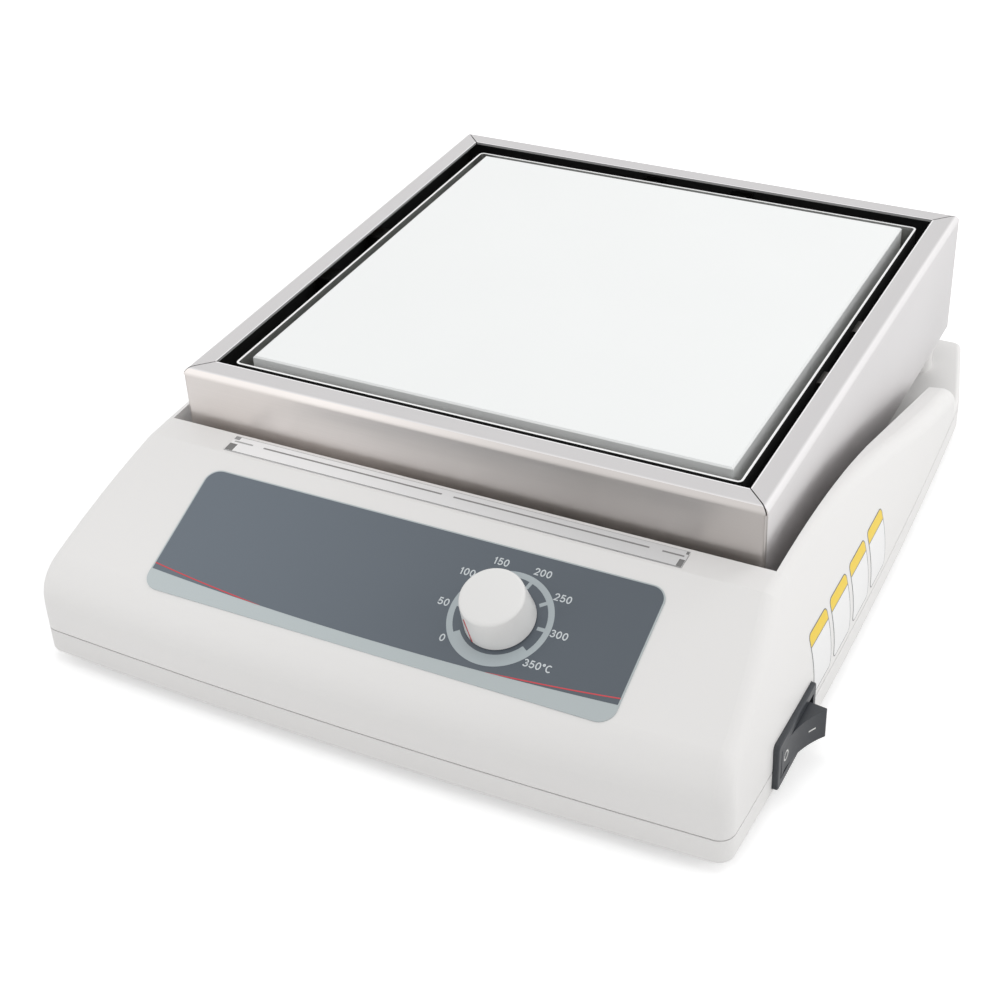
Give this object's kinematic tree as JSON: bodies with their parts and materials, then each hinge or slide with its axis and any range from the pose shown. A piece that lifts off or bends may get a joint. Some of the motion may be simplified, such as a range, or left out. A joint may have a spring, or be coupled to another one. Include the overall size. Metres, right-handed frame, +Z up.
{
  "type": "laboratory hot plate",
  "caption": "Square hot plate in a folded steel frame on a moulded housing with a sloping control panel, a temperature knob and a rocker switch on the side.",
  "frame": {"origin": "centre of the heating plate's top face", "axes": "+Z up out of the plate, -Y towards the user, +X to the user's right"},
  "size_m": [0.2619, 0.3045, 0.081],
  "materials": {
    "housing_plastic": "satin",
    "tray_plastic": "satin",
    "frame_steel": "satin",
    "inner_steel": "satin",
    "plate_ceramic": "glossy",
    "pan_steel": "satin",
    "screw_steel": "satin",
    "mineral_fibre": "matt",
    "heater_sheath": "satin",
    "copper_line": "satin",
    "controller_body": "matt",
    "overlay_film": "satin",
    "knob_plastic": "glossy",
    "window_plastic": "glossy",
    "lamp_plastic": "glossy",
    "board_laminate": "satin",
    "switch_plastic": "satin",
    "rocker_plastic": "satin",
    "contact_brass": "satin",
    "inlet_plastic": "matt",
    "terminal_plastic": "matt",
    "foot_rubber": "matt"
  },
  "bodies": {
    "base": {"upper_housing": "housing_plastic", "lower_tray": "tray_plastic", "housing_screws": "screw_steel", "rubber_feet": "foot_rubber", "foot_screws": "screw_steel", "heater_frame": "frame_steel", "frame_floor": "inner_steel", "liner_pan": "pan_steel", "pan_brackets": "inner_steel", "insulation_block": "mineral_fibre", "heating_plate": "plate_ceramic", "plate_spacers": "inner_steel", "plate_studs": "screw_steel", "stud_nuts": "screw_steel", "heating_element": "heater_sheath", "clamp_plate": "inner_steel", "clamp_screws": "screw_steel", "overheat_cutout": "controller_body", "sensor_bulb": "copper_line", "frame_posts": "inner_steel", "post_screws": "screw_steel", "lead_sleeve": "inner_steel", "deck_grommet": "foot_rubber", "panel_overlay": "overlay_film", "temperature_controller": "controller_body", "controller_nut": "screw_steel", "light_window": "window_plastic", "light_guide": "window_plastic", "indicator_lamps": "lamp_plastic", "lamp_board": "board_laminate", "board_screws": "screw_steel", "switch_body": "switch_plastic", "switch_terminals": "contact_brass", "power_inlet": "inlet_plastic", "inlet_pins": "contact_brass", "terminal_block": "terminal_plastic", "block_screws": "screw_steel"},
    "knob": {"control_knob": "knob_plastic", "controller_shaft": "screw_steel"},
    "rocker": {"switch_rocker": "rocker_plastic"}
  },
  "joints": [
    {"name": "knob_turn", "type": "hinge", "parent": "base", "child": "knob", "pos_m": [0.0376, -0.15175, -0.03206], "axis": [0, 0.373, -0.9278], "range_deg": [0, 255]},
    {"name": "switch_rock", "type": "hinge", "parent": "base", "child": "rocker", "pos_m": [0.12325, -0.13, -0.0653], "axis": [0, 0, 1], "range_deg": [0, 30]}
  ]
}
